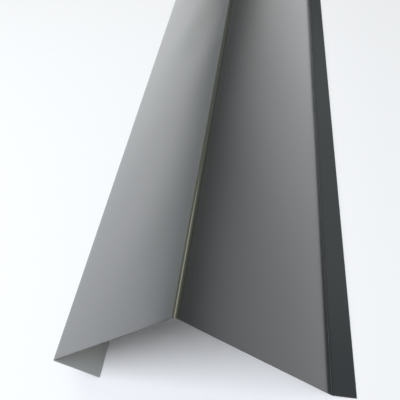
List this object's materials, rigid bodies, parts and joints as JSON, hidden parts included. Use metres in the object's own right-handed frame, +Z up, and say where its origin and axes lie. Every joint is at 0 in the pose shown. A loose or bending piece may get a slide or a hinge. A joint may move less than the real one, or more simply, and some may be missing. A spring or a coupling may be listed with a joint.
{
  "type": "wall flashing",
  "caption": "Long folded sheet-metal flashing: a top flange with a narrow return under it, and a face flange at right angles that ends in a drip lip kicked outwards.",
  "frame": {"origin": "on the floor, at the middle of the box round the flashing as it stands on its two long free edges", "axes": "+Y along the length, +Z up, +X from the return towards the face flange and the drip lip"},
  "size_m": [0.197, 2, 0.1073],
  "materials": {
    "coated_steel": "satin"
  },
  "bodies": {
    "root": {"flashing_sheet": "coated_steel"}
  },
  "joints": []
}
